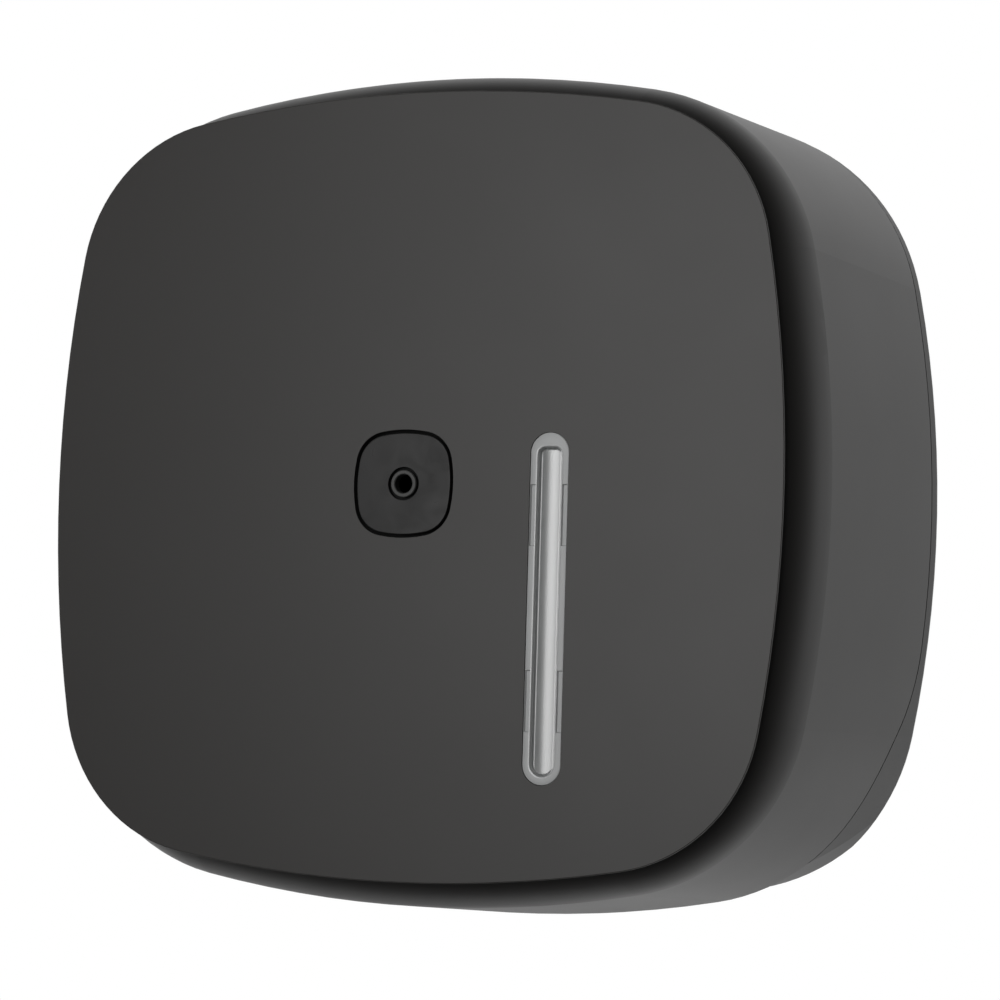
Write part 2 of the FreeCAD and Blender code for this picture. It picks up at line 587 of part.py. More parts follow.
def hinge_ear(x):
    """Ear that holds a hinge pin, from the base and the chin up to the axis."""
    corners = [V(0, HINGE_Y, HINGE_Z + KNUCKLE_R), V(0, -BASE_T, HINGE_Z + EAR_ROOT_RISE),
               V(0, -BASE_T, CHIN_BOTTOM_Z), V(0, HINGE_Y - KNUCKLE_R, CHIN_BOTTOM_Z),
               V(0, HINGE_Y - KNUCKLE_R, HINGE_Z)]
    web = Part.Face(Part.makePolygon(corners + corners[:1])).extrude(V(EAR_T, 0, 0))
    eye = Part.makeCylinder(KNUCKLE_R, EAR_T, V(0, HINGE_Y, HINGE_Z), V(1, 0, 0))
    return joined([web, eye]).translated(V(x - EAR_T / 2, 0, 0))


def arm_slot(x):
    """Slot in the chin through which a hinge arm swings."""
    half = KNUCKLE_WIDTH / 2 + KNUCKLE_GAP
    return block(x - half, x + half, -FAR, -BASE_T - SLOT_REAR, -FAR, HINGE_Z)


def wall_slot(side_x, side_z):
    """Level slot for a wall screw."""
    x = side_x * WALL_SLOT_SPACING_X / 2
    z = WALL_SLOT_MID_Z + side_z * WALL_SLOT_SPACING_Z / 2
    half = WALL_SLOT_LENGTH / 2
    slot = obround(2 * WALL_SLOT_R, -half, half, -BASE_T, 0.0, 0.0)
    return slot.rotated(V(0, 0, 0), V(0, 1, 0), 90).translated(V(x, 0, z))


def sector(r_in, r_out, half_angle, y_front, y_rear):
    """Slice of a ring about the roll axis, centred straight below it."""
    ring = rod(r_out, y_front, y_rear, 0, 0).cut(rod(r_in, y_front, y_rear, 0, 0))
    lean = math.radians(half_angle)
    side = FAR * math.sin(lean)
    drop = -FAR * math.cos(lean)
    corners = [V(0, y_front, 0), V(side, y_front, drop), V(-side, y_front, drop), V(0, y_front, 0)]
    return ring.common(Part.Face(Part.makePolygon(corners)).extrude(V(0, y_rear - y_front, 0)))


def gusset(x, shelf_r):
    """Upright rib under the cradle, deepest at the back plate."""
    rear_y = -BASE_T - CRADLE_FLANGE_T / 2
    toe_y = -BASE_T - CRADLE_LENGTH + GUSSET_FRONT
    outer_x = abs(x) + GUSSET_T / 2
    top_z = -math.sqrt((shelf_r - CRADLE_T) ** 2 - outer_x ** 2)
    toe_z = -math.sqrt(shelf_r ** 2 - outer_x ** 2)
    low_z = -math.sqrt((shelf_r + CRADLE_FLANGE_DROP - GUSSET_T) ** 2 - outer_x ** 2)
    corners = [V(0, rear_y, top_z), V(0, toe_y, top_z), V(0, toe_y, toe_z), V(0, rear_y, low_z)]
    rib = Part.Face(Part.makePolygon(corners + corners[:1])).extrude(V(GUSSET_T, 0, 0))
    rib = rib.translated(V(x - GUSSET_T / 2, 0, 0))
    return rib.cut(rod(shelf_r - CRADLE_T / 2, -BASE_T - CRADLE_LENGTH, -BASE_T, 0, 0))


def make_roll_cradle():
    inner_r = ROLL_R + ROLL_FIT
    shelf_r = inner_r + CRADLE_T
    front_y = -BASE_T - CRADLE_LENGTH
    shelf = sector(inner_r, shelf_r, CRADLE_HALF_ANGLE, front_y, -BASE_T)
    corner_edges = [edge for edge in shelf.Edges
                    if edge.BoundBox.YMax < front_y + CRADLE_T and edge.Length < 2 * CRADLE_T]
    shelf = shelf.makeFillet(CRADLE_CORNER_R, corner_edges)
    flange_y = -BASE_T - CRADLE_FLANGE_T
    flange = sector(inner_r, shelf_r + CRADLE_FLANGE_DROP, CRADLE_HALF_ANGLE, flange_y, -BASE_T)
    gussets = [gusset(x, shelf_r) for x in (-GUSSET_X, GUSSET_X)]
    cradle = joined([shelf, flange] + gussets)
    holes = [rod(BOSS_R + BOSS_FIT, flange_y, -BASE_T, x, z) for x, z in cradle_screw_places()]
    return cradle.cut(holes)


def make_cradle_screws():
    return [screw(x, z, -BASE_T - CRADLE_FLANGE_T, 1) for x, z in cradle_screw_places()]


def make_hinge_pins():
    """Headed pins, each through two ears and the knuckle between them."""
    reach = KNUCKLE_WIDTH / 2 + KNUCKLE_GAP + EAR_T
    pins = []
    for side in (-1, 1):
        inner_x = side * (HINGE_X - reach)
        shank = Part.makeCylinder(PIN_R, 2 * reach, V(inner_x, HINGE_Y, HINGE_Z), V(side, 0, 0))
        head = Part.makeCylinder(PIN_HEAD_R, PIN_HEAD_T, V(inner_x, HINGE_Y, HINGE_Z), V(-side, 0, 0))
        pins.append(joined([shank, head]))
    return pins


def make_lock_keeper():
    """Hook that reaches forward beside the lock, with its lip in front of the turned cam."""
    front_y, seat_y, low_z, high_z, outer_x = keeper_levels()
    arm = block(outer_x - KEEPER_T, outer_x, front_y, -BASE_T, low_z, high_z)
    lip = block(KEEPER_INNER_X, outer_x, front_y, front_y + KEEPER_T, low_z, high_z)
    arm_x = outer_x - KEEPER_T / 2
    foot_reach = KEEPER_T / 2 + KEEPER_FOOT
    foot = block(arm_x - foot_reach, arm_x + foot_reach, seat_y, -BASE_T, low_z, high_z)
    holes = [rod(BOSS_R + BOSS_FIT, seat_y, -BASE_T, x, z) for x, z in keeper_screw_places()]
    keeper = joined([arm, lip, foot])
    knee = [edge for edge in keeper.Edges if edge.BoundBox.XMin > outer_x - KEEPER_T / 4
            and edge.BoundBox.XMax < outer_x + KEEPER_T / 4 and edge.BoundBox.YMax < front_y + KEEPER_T / 4]
    upright = [edge for edge in knee if edge.BoundBox.ZLength > KEEPER_HEIGHT / 2]
    return keeper.makeFillet(KEEPER_T, upright).cut(holes)


def make_keeper_screws():
    return [screw(x, z, keeper_levels()[1], 1) for x, z in keeper_screw_places()]


# Lock

def make_lock_housing():
    flange = post(LOCK_FLANGE_R, LOCK_SEAT_Z, LOCK_SEAT_Z + LOCK_FLANGE_T)
    top_edge = [edge for edge in flange.Edges if edge.BoundBox.ZMin > LOCK_SEAT_Z + LOCK_FLANGE_T / 2]
    flange = flange.makeChamfer(LOCK_FLANGE_CHAMFER, top_edge)
    sleeve = post(SLEEVE_R, LOCK_SEAT_Z - SLEEVE_LENGTH, LOCK_SEAT_Z)
    head_z = LOCK_SEAT_Z + LOCK_FLANGE_T - BARREL_HEAD_T
    bore = post(BARREL_R + BARREL_FIT, LOCK_SEAT_Z - SLEEVE_LENGTH, LOCK_SEAT_Z + LOCK_FLANGE_T)
    counterbore = post(BARREL_HEAD_R + BARREL_FIT, head_z - BARREL_FIT, LOCK_SEAT_Z + LOCK_FLANGE_T)
    return joined([flange, sleeve]).cut([bore, counterbore])


def washer_levels():
    top_z = LOCK_SEAT_Z - LOCK_PAD_T
    return top_z - WASHER_T, top_z


def make_lock_washer():
    low_z, top_z = washer_levels()
    return post(WASHER_R, low_z, top_z).cut(post(SLEEVE_R + SLEEVE_FIT, low_z, top_z))


def make_lock_nut():
    top_z = washer_levels()[0]
    radius = NUT_ACROSS_FLATS / math.sqrt(3)
    turns = [math.radians(60 * k) for k in range(7)]
    corners = [V(radius * math.cos(turn), LOCK_Y + radius * math.sin(turn), top_z - NUT_T) for turn in turns]
    hexagon = Part.Face(Part.makePolygon(corners)).extrude(V(0, 0, NUT_T))
    return hexagon.cut(post(SLEEVE_R + THREAD_FIT, top_z - NUT_T, top_z))


def square_post(side, z_low, z_high):
    return block(-side / 2, side / 2, LOCK_Y - side / 2, LOCK_Y + side / 2, z_low, z_high)


def make_lock_barrel():
    top_z = LOCK_SEAT_Z + LOCK_FLANGE_T
    foot_z = LOCK_SEAT_Z - SLEEVE_LENGTH
    head = post(BARREL_HEAD_R, top_z - BARREL_HEAD_T, top_z)
    shaft = post(BARREL_R, foot_z, top_z - BARREL_HEAD_T)
    drive = square_post(DRIVE_SIDE, CAM_BOTTOM_Z, foot_z)
    reach = KEYWAY_LENGTH / 2
    slit = KEYWAY_WIDTH / 2
    keyway = block(-reach, reach, LOCK_Y - slit, LOCK_Y + slit, top_z - KEYWAY_DEPTH, top_z)
    pilot = post(CAM_SCREW_R + THREAD_FIT, CAM_BOTTOM_Z, CAM_BOTTOM_Z + CAM_SCREW_BITE + THREAD_FIT)
    return joined([head, shaft, drive]).cut([keyway, pilot])


def make_lock_cam():
    """Flat cam; its finger points to the wall when unlocked and turns behind the keeper's lip."""
    tip_r = CAM_WIDTH / 2
    hub = post(CAM_HUB_R, CAM_BOTTOM_Z, CAM_TOP_Z)
    finger = block(-tip_r, tip_r, LOCK_Y, LOCK_Y + CAM_REACH - tip_r, CAM_BOTTOM_Z, CAM_TOP_Z)
    tip = post(tip_r, CAM_BOTTOM_Z, CAM_TOP_Z).translated(V(0, CAM_REACH - tip_r, 0))
    return joined([hub, finger, tip]).cut(square_post(DRIVE_SIDE + 2 * DRIVE_FIT, CAM_BOTTOM_Z, CAM_TOP_Z))


def make_cam_screw():
    head = post(CAM_HEAD_R, CAM_BOTTOM_Z - CAM_HEAD_T, CAM_BOTTOM_Z)
    shank = post(CAM_SCREW_R, CAM_BOTTOM_Z, CAM_BOTTOM_Z + CAM_SCREW_BITE)
    return joined([head, shank])


PIECES = {
    "back_plate": make_back_plate,
    "roll_cradle": make_roll_cradle,
    "cradle_screws": make_cradle_screws,
    "hinge_pins": make_hinge_pins,
    "lock_keeper": make_lock_keeper,
    "keeper_screws": make_keeper_screws,
    "cover_shell": make_cover_shell,
    "front_panel": make_front_panel,
    "panel_screws": make_panel_screws,
    "window_lens": make_window_lens,
    "nozzle_plate": make_nozzle_plate,
    "nozzle_ring": make_nozzle_ring,
    "paper_funnel": make_paper_funnel,
    "funnel_screws": make_funnel_screws,
    "lock_housing": make_lock_housing,
    "lock_washer": make_lock_washer,
    "lock_nut": make_lock_nut,
    "lock_barrel": make_lock_barrel,
    "lock_cam": make_lock_cam,
    "cam_screw": make_cam_screw,
}

os.makedirs("parts", exist_ok=True)
for name, make in PIECES.items():
    made = make()
    shape = Part.makeCompound(made) if isinstance(made, list) else made
    shape.exportStep(os.path.join("parts", name + ".step"))
    print(name, len(shape.Solids), "valid" if shape.isValid() else "INVALID", round(shape.Volume, 1))
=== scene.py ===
import json
import math

import bmesh
import bpy
from mathutils import Matrix, Vector

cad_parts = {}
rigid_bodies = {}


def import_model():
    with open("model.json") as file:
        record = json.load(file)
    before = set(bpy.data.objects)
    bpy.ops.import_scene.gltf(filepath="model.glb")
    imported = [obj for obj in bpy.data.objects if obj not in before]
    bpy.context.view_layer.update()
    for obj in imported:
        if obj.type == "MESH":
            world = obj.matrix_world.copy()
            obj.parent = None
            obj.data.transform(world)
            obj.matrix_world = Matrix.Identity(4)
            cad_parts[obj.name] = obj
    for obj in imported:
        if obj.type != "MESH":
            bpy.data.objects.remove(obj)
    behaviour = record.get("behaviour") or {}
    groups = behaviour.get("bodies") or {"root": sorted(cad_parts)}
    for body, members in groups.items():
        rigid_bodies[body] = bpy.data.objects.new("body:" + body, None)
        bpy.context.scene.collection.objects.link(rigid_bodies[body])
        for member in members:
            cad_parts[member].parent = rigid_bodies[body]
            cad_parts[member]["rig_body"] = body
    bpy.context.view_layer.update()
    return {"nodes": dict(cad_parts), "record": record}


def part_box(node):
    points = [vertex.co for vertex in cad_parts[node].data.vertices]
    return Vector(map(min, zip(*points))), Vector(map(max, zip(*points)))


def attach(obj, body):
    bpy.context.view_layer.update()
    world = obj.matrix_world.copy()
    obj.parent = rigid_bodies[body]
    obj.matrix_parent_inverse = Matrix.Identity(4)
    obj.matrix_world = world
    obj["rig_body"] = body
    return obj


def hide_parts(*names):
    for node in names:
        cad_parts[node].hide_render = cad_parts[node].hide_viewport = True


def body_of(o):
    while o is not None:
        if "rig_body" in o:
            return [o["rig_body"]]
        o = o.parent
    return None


# Looks of a wall-hung centre-pull toilet tissue dispenser. Metres, +Z up, front towards -Y.

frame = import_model()
nodes = frame["nodes"]

# Camera: right of the nozzle and a little below it
CAMERA_AZIMUTH = math.radians(22.455)
CAMERA_ELEVATION = math.radians(-4.245)
CAMERA_ROLL = math.radians(1.671)
CAMERA_DISTANCE = 1.1283
CAMERA_SENSOR = 36.0       # millimetres, as the lens is
CAMERA_LENS = 108.84
CAMERA_AIM_X = 0.0398
CAMERA_AIM_Z = -0.0063

# Stage and light
FLOOR_PLACE = (0.0, 1.0, -0.75)
FLOOR_SOLID = 0.4          # radius of the floor before it fades out
FLOOR_RADIUS = 1.2
ROOM_LIGHT = 0.9           # share of the backdrop's light that reaches matt surfaces
ROOM_FRONT = 0.05          # the room in front of the object against the white behind it
ROOM_FRONT_END = -0.4      # how far forward a direction points where that room ends
ROOM_WHITE_START = 0.25    # how far back one points where the white starts
ROOM_LEAN = 0.58           # how much further back the white starts above and below
ROOM_HORIZON = 0.72        # the white at eye level against that above and below
ROOM_HORIZON_END = 0.15    # square of a direction's slope where eye level ends
KEY_PLACE = (-0.07, -1.55, 0.2)
KEY_SIZE = 1.13
KEY_POWER = 12.9
SIDE_PLACE = (1.48, 0.55, 0.05)
SIDE_SIZE = 0.7
SIDE_POWER = 1.3
LEFT_PLACE = (-1.5, -0.5, 0.1)
LEFT_SIZE = 1.0
LEFT_POWER = 7.0
LOW_PLACE = (0.12, 0.46, -0.72)
LOW_SIZE = 0.75
LOW_POWER = 0.92

# Finishes: the size of their spots, and how far the gloss strays
SPOT_LOW = 0.3             # noise below this is the lowest value
SPOT_HIGH = 0.7            # noise above this is the highest value
SPOT_DETAIL = 3.0
MOULDED_CLOUD = 0.09
MOULDED_GLOSS_SPOT = 0.07
MOULDED_GLOSS_STRAY = 0.012
MOULDED_GRAIN_DETAIL = 2.0
POLISHED_CLOUD = 0.03
POLISHED_SMEAR = 0.012
POLISHED_SMEAR_DETAIL = 5.0
POLISHED_SMEAR_TWIST = 1.5
WINDOW_CLOUD = 0.02
WINDOW_GLOSS_SPOT = 0.01
WINDOW_GLOSS_STRAY = 0.03
PLATED_SPOT = 0.003
PLATED_SHADE = 0.85        # the darker spots against the lighter ones
PLATED_GLOSS_SPOT = 0.0015
PLATED_GLOSS_STRAY = 0.08

# Moulded recesses: the matt walls of an opening, darkened with painted shade, start this far behind a
# piece's front
RECESS_START = 0.0005
RECESS_FULL = 0.0010
# painted shade: the near-black base colour of the walls of openings stands in for the shade deep inside
# them
RECESS_PAINTED_SHADE = (0.003, 0.003, 0.003, 1.0)
RECESS_ROUGHNESS = 0.9

# Meshes
MERGE_GAP = 1e-6           # vertices this close are one
SHARP_ANGLE = math.radians(40)
PLACE_DIGITS = 5           # decimals that tell the places of solids apart

# Washer-head screws with a cross recess
SCREW_HEAD_T = 0.002
FLAT_R = 0.0024
DOME_ROUND_R = 0.00289     # middle of the dome's round edge
DOME_ROUND_Z = 0.0018
DOME_R = 0.0034
DOME_EDGE_Z = 0.00124
WASHER_T = 0.0008
WASHER_TOP = 0.94          # share of the washer's radius that is flat on top
WASHER_EDGE_Z = 0.00048
SHANK_R = 0.00145
SHANK_STRAIGHT = 0.85      # share of the shank before its tip
TIP_R = 0.000725
CROSS_REACH = 0.0019
CROSS_HALF = 0.0004
CROSS_DEPTH = 0.0012
CROSS_TAPER = 0.6
SCREW_TURN = 37.0          # degrees from one screw to the next, as they were driven
SPIN_STEPS = 32

# Window lens: a polished trough with a crowned floor in a satin rim, and snap tabs behind
TROUGH_HALF = 0.0037       # half the width of its floor
TROUGH_DEPTH = 0.0024
TROUGH_CROWN = 0.0007
TROUGH_FILLET_R = 0.0007   # where the floor meets the wall
TROUGH_ROUND_R = 0.0009    # where the wall meets the rim
TROUGH_ROUND_STEPS = 4
TROUGH_TOP = 0.0064        # lens top to the flat end of the floor
TROUGH_CORNER_R = 0.0018   # corners of that end
TROUGH_BOTTOM = 0.0042     # lens bottom to the round end of the floor
TROUGH_COLUMNS = 20
TROUGH_END_ROWS = 10
TROUGH_CORNER_ROWS = 6
LENS_EDGE = 0.0002
LENS_HEAD_T = 0.0018
LENS_LEDGE = 0.0020
TAB_DROP = 0.01925         # lens top to the upper tabs
TAB_FOOT = 0.01935         # lens bottom to the lower tabs
TAB_LENGTH = 0.0230
TAB_FRAME = 0.0005         # rim left round the pocket in front of a tab
TAB_POCKET = 0.0008
TAB_REAR = 0.0028          # front of a tab to the rear of the lens
TAB_T = 0.0018
TAB_BARB = 0.0011
TAB_ROOT = 0.0001          # how far a tab reaches into the body

# Places on the lens, about its own upright centre line
LENS_LOW, LENS_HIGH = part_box("window_lens")
LENS_RIM_R = (LENS_HIGH.x - LENS_LOW.x) / 2
LENS_BODY_R = LENS_RIM_R - LENS_LEDGE
LENS_LOWER_Z = LENS_LOW.z + LENS_RIM_R     # centres of its round ends
LENS_UPPER_Z = LENS_HIGH.z - LENS_RIM_R
TROUGH_LOWER_Z = LENS_LOW.z + TROUGH_BOTTOM + TROUGH_HALF
TROUGH_CORNER_X = TROUGH_HALF - TROUGH_CORNER_R
TROUGH_CORNER_Z = LENS_HIGH.z - TROUGH_TOP - TROUGH_CORNER_R
LOWER_TABS = (LENS_LOW.z + TAB_FOOT, LENS_LOW.z + TAB_FOOT + TAB_LENGTH)
UPPER_TABS = (LENS_HIGH.z - TAB_DROP - TAB_LENGTH, LENS_HIGH.z - TAB_DROP)


def add_node(tree, kind, **sockets):
    """A shader node, with the sockets named here set."""
    made = tree.nodes.new(kind)
    for name, value in sockets.items():
        made.inputs[name.replace("_", " ")].default_value = value
    return made


def combined(tree, operation, first, second):
    """A math node on two sockets, or on a socket and a number."""
    made = tree.nodes.new("ShaderNodeMath")
    made.operation = operation
    for socket, value in zip(made.inputs, (first, second)):
        if isinstance(value, float):
            socket.default_value = value
        else:
            tree.links.new(value, socket)
    return made.outputs["Value"]


def new_material(name):
    """A new material, with its node tree and its shader."""
    material = bpy.data.materials.new(name)
    material.use_nodes = True
    tree = material.node_tree
    return material, tree, tree.nodes["Principled BSDF"]


def noise(tree, feature, detail=SPOT_DETAIL):
    """Noise whose features are about this many metres across, on the piece's own coordinates."""
    where = tree.nodes.new("ShaderNodeTexCoord")
    made = add_node(tree, "ShaderNodeTexNoise", Scale=1.0 / feature, Detail=detail)
    tree.links.new(where.outputs["Object"], made.inputs["Vector"])
    return made.outputs["Fac"]


def ranged(tree, value, low, high):
    """A noise value spread between low and high."""
    made = add_node(tree, "ShaderNodeMapRange", From_Min=SPOT_LOW, From_Max=SPOT_HIGH,
                    To_Min=low, To_Max=high)
    tree.links.new(value, made.inputs["Value"])
    return made.outputs["Result"]


def strayed(tree, value, middle, stray):
    """A noise value spread about a middle."""
    return ranged(tree, value, middle - stray, middle + stray)


def tinted(tree, value, dark, light):
    """A colour between dark and light."""
    made = tree.nodes.new("ShaderNodeValToRGB")
    first, last = made.color_ramp.elements
    first.color = (*dark, 1.0)
    last.color = (*light, 1.0)
    first.position = SPOT_LOW
    last.position = SPOT_HIGH
    tree.links.new(value, made.inputs["Fac"])
    return made.outputs["Color"]


def bumped(tree, value, depth):
    """A normal that a noise value roughens to this depth."""
    made = add_node(tree, "ShaderNodeBump", Distance=depth)
    tree.links.new(value, made.inputs["Height"])
    return made.outputs["Normal"]


def recess(tree, front_y):
    """0 on the front of a piece, 1 on the walls of its openings and on its rear: where the painted shade
    and the matt roughness go.
    """
    where = tree.nodes.new("ShaderNodeTexCoord")
    parts = tree.nodes.new("ShaderNodeSeparateXYZ")
    start_y = front_y + RECESS_START
    full_y = front_y + RECESS_FULL
    depth = add_node(tree, "ShaderNodeMapRange", From_Min=start_y, From_Max=full_y)
    tree.links.new(where.outputs["Object"], parts.inputs["Vector"])
    tree.links.new(parts.outputs["Y"], depth.inputs["Value"])
    return depth.outputs["Result"]


def matt_recess_with_painted_shade(material, node):
    """Dull the walls of a node's openings, which are moulded without the polish of its front, and paint
    shade on them with a near-black base colour.
    """
    tree = material.node_tree
    shader = tree.nodes["Principled BSDF"]
    inside = recess(tree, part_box(node)[0].y)
    # the base colour here is painted shade; the roughness is the matt moulding
    recess_settings = (("Base Color", "RGBA", RECESS_PAINTED_SHADE), ("Roughness", "FLOAT", RECESS_ROUGHNESS))
    for name, kind, recess_value in recess_settings:
        mix = tree.nodes.new("ShaderNodeMix")
        mix.data_type = kind
        share, polished, recess_socket = [socket for socket in mix.inputs if socket.enabled]
        output = next(socket for socket in mix.outputs if socket.enabled)
        recess_socket.default_value = recess_value
        tree.links.new(inside, share)
        tree.links.new(shader.inputs[name].links[0].from_socket, polished)
        tree.links.new(output, shader.inputs[name])
    return material


def moulded_plastic(name, dark, light, roughness, grain, grain_depth, specular=0.5):
    """Textured injection-moulded plastic: fine spark grain, faint flow clouds and uneven gloss."""
    material, tree, shader = new_material(name)
    shader.inputs["Specular IOR Level"].default_value = specular
    clouds = noise(tree, MOULDED_CLOUD)
    gloss = noise(tree, MOULDED_GLOSS_SPOT)
    sparks = noise(tree, grain, MOULDED_GRAIN_DETAIL)
    links = tree.links
    links.new(tinted(tree, clouds, dark, light), shader.inputs["Base Color"])
    links.new(strayed(tree, gloss, roughness, MOULDED_GLOSS_STRAY), shader.inputs["Roughness"])
    links.new(bumped(tree, sparks, grain_depth), shader.inputs["Normal"])
    return material


def polished_plastic(name, dark, light, low, high):
    """Polished plastic with faint smears, where the gloss goes from low to high roughness."""
    material, tree, shader = new_material(name)
    shader.inputs["Specular IOR Level"].default_value = 0.3
    clouds = noise(tree, POLISHED_CLOUD)
    smears = noise(tree, POLISHED_SMEAR, POLISHED_SMEAR_DETAIL)
    smears.node.inputs["Distortion"].default_value = POLISHED_SMEAR_TWIST
    links = tree.links
    links.new(tinted(tree, clouds, dark, light), shader.inputs["Base Color"])
    links.new(ranged(tree, smears, low, high), shader.inputs["Roughness"])
    return material


def window_plastic(name, dark, light, roughness, coat):
    """Half-clear moulded plastic with a satin or, with a coat, a polished surface."""
    material, tree, shader = new_material(name)
    shader.inputs["Transmission Weight"].default_value = 0.4
    shader.inputs["IOR"].default_value = 1.49
    shader.inputs["Coat Weight"].default_value = coat
    shader.inputs["Coat Roughness"].default_value = 0.4
    shader.inputs["Coat IOR"].default_value = 2.5
    clouds = noise(tree, WINDOW_CLOUD)
    gloss = noise(tree, WINDOW_GLOSS_SPOT)
    links = tree.links
    links.new(tinted(tree, clouds, dark, light), shader.inputs["Base Color"])
    links.new(strayed(tree, gloss, roughness, WINDOW_GLOSS_STRAY), shader.inputs["Roughness"])
    return material


def plated_steel(name, colour, roughness):
    """Plated steel with small darker spots and uneven gloss."""
    material, tree, shader = new_material(name)
    shader.inputs["Metallic"].default_value = 1.0
    darker = tuple(PLATED_SHADE * value for value in colour)
    spots = noise(tree, PLATED_SPOT)
    gloss = noise(tree, PLATED_GLOSS_SPOT)
    links = tree.links
    links.new(tinted(tree, spots, darker, colour), shader.inputs["Base Color"])
    links.new(strayed(tree, gloss, roughness, PLATED_GLOSS_STRAY), shader.inputs["Roughness"])
    return material


SATIN_BLACK = moulded_plastic("satin_black", dark=(0.0114, 0.0105, 0.0098), light=(0.0126, 0.0117, 0.0109),
                              roughness=0.42, grain=0.0005, grain_depth=0.00001, specular=0.38)
INNER_BLACK = moulded_plastic("inner_black", dark=(0.0110, 0.0105, 0.0101), light=(0.0122, 0.0117, 0.0112),
                              roughness=0.46, grain=0.0012, grain_depth=0.00001, specular=0.38)
PANEL_BLACK = moulded_plastic("panel_black", dark=(0.0126, 0.0110, 0.0096), light=(0.0138, 0.0121, 0.0107),
                              roughness=0.42, grain=0.0004, grain_depth=0.00001)
RING_RUBBER = moulded_plastic("ring_rubber", dark=(0.034, 0.034, 0.033), light=(0.040, 0.040, 0.039),
                              roughness=0.5, grain=0.0006, grain_depth=0.00002)
POLISHED_BLACK = polished_plastic("polished_black", dark=(0.0105, 0.0102, 0.0100),
                                  light=(0.0115, 0.0112, 0.0110), low=0.27, high=0.48)
SATIN_WINDOW = window_plastic("satin_window", dark=(0.60, 0.61, 0.61), light=(0.67, 0.68, 0.68),
                              roughness=0.40, coat=0.0)
CLEAR_WINDOW = window_plastic("clear_window", dark=(0.32, 0.33, 0.33), light=(0.38, 0.39, 0.39),
                              roughness=0.20, coat=1.0)
ZINC_STEEL = plated_steel("zinc_steel", colour=(0.58, 0.58, 0.59), roughness=0.35)
SATIN_NICKEL = plated_steel("satin_nickel", colour=(0.66, 0.64, 0.61), roughness=0.25)

FINISHES = {
    "cover_plastic": SATIN_BLACK,
    # painted shade darkens the walls of the openings in the panel, the nozzle plate and the ring
    "panel_plastic": matt_recess_with_painted_shade(PANEL_BLACK, "front_panel"),
    "nozzle_plastic": matt_recess_with_painted_shade(POLISHED_BLACK, "nozzle_plate"),
    "ring_rubber": matt_recess_with_painted_shade(RING_RUBBER, "nozzle_ring"),
    "window_plastic": SATIN_WINDOW,
    "inner_plastic": INNER_BLACK,
    "lock_plastic": INNER_BLACK,
    "lock_metal": SATIN_NICKEL,
    "steel": ZINC_STEEL,
}

for row in frame["record"]["subparts"]:
    piece = nodes[row["node"]]
    piece.data.materials.clear()
    piece.data.materials.append(FINISHES[row["material_slot"]])


def only_verts(items):
    """The vertices among what an operator made."""
    return [item for item in items if isinstance(item, bmesh.types.BMVert)]


def boundary(items):
    """The edges among these items that have a face on one side only."""
    return [item for item in items if isinstance(item, bmesh.types.BMEdge) and item.is_boundary]


def quarter_turn(steps):
    """Angles from 0 to a right angle."""
    return [math.pi / 2 * k / steps for k in range(steps + 1)]


def solid_boxes(node):
    """Lowest and highest corners of each separate solid of a CAD node, from left to right."""
    shape = bmesh.new()
    shape.from_mesh(nodes[node].data)
    bmesh.ops.remove_doubles(shape, verts=shape.verts, dist=MERGE_GAP)
    boxes = []
    unseen = set(shape.verts)
    while unseen:
        queue = [unseen.pop()]
        solid = []
        while queue:
            vert = queue.pop()
            solid.append(vert.co.copy())
            near = {edge.other_vert(vert) for edge in vert.link_edges} & unseen
            unseen -= near
            queue.extend(near)
        boxes.append((Vector(map(min, zip(*solid))), Vector(map(max, zip(*solid)))))
    shape.free()
    return sorted(boxes, key=lambda box: tuple(round(value, PLACE_DIGITS) for value in (*box[0], *box[1])))


def new_piece(name, shape, material):
    """An object from a bmesh, with its normals outward and its hard edges kept."""
    bmesh.ops.remove_doubles(shape, verts=shape.verts, dist=MERGE_GAP)
    bmesh.ops.recalc_face_normals(shape, faces=shape.faces)
    mesh = bpy.data.meshes.new(name)
    shape.to_mesh(mesh)
    shape.free()
    mesh.shade_smooth()
    mesh.set_sharp_from_angle(angle=SHARP_ANGLE)
    mesh.materials.append(material)
    piece = bpy.data.objects.new(name, mesh)
    bpy.context.scene.collection.objects.link(piece)
    return piece


def cross_recess(shape):
    """A tapered cross recess, open at the top of a screw's head. Gives the edges of its mouth."""
    arm = [(CROSS_REACH, -CROSS_HALF), (CROSS_REACH, CROSS_HALF), (CROSS_HALF, CROSS_HALF)]
    quarters = [Matrix.Rotation(math.radians(90 * k), 2) for k in range(4)]
    corners = [turn @ Vector(point) for turn in quarters for point in arm]
    cross = shape.faces.new([shape.verts.new((*corner, SCREW_HEAD_T)) for corner in corners])
    mouth = list(cross.edges)
    floor = only_verts(bmesh.ops.extrude_face_region(shape, geom=[cross])["geom"])
    bmesh.ops.delete(shape, geom=[cross], context="FACES_ONLY")
    bmesh.ops.scale(shape, vec=(CROSS_TAPER, CROSS_TAPER, 1.0), verts=floor)
    bmesh.ops.translate(shape, vec=(0, 0, -CROSS_DEPTH), verts=floor)
    return mouth


